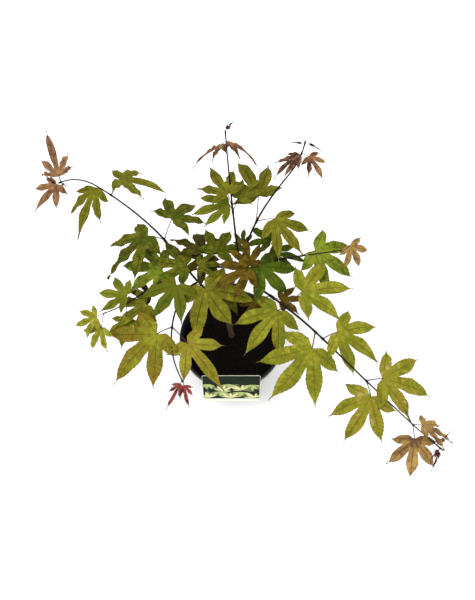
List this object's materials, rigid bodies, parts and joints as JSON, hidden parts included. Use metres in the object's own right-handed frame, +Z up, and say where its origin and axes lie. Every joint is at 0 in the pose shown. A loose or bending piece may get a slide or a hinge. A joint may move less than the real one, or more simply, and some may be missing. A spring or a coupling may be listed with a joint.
{
  "type": "potted japanese maple",
  "caption": "Young palmate-leaved garden maple with a leaning stem and open spreading boughs, in a round black nursery pot with a hooked picture label.",
  "frame": {"origin": "middle of the pot's flat underside", "axes": "+Z up the pot, -Y towards the label and the front, +X to the right seen from the front"},
  "size_m": [0.4488, 0.3957, 0.3492],
  "materials": {
    "pot": "satin",
    "soil": "matte",
    "label": "gloss",
    "bark": "matte",
    "shoot": "satin",
    "leaf": "satin"
  },
  "bodies": {
    "root": {"pot": "pot", "soil": "soil", "label": "label", "trunk": "bark", "bough_left_back": "shoot", "bough_back": "shoot", "bough_right_back": "shoot", "bough_right": "shoot", "bough_right_front": "shoot", "bough_left": "shoot", "bough_left_front": "shoot", "foliage_left_back": "leaf", "foliage_back": "leaf", "foliage_right_back": "leaf", "foliage_right": "leaf", "foliage_right_front": "leaf", "foliage_left": "leaf", "foliage_left_front": "leaf", "foliage_crown": "leaf"}
  },
  "joints": []
}
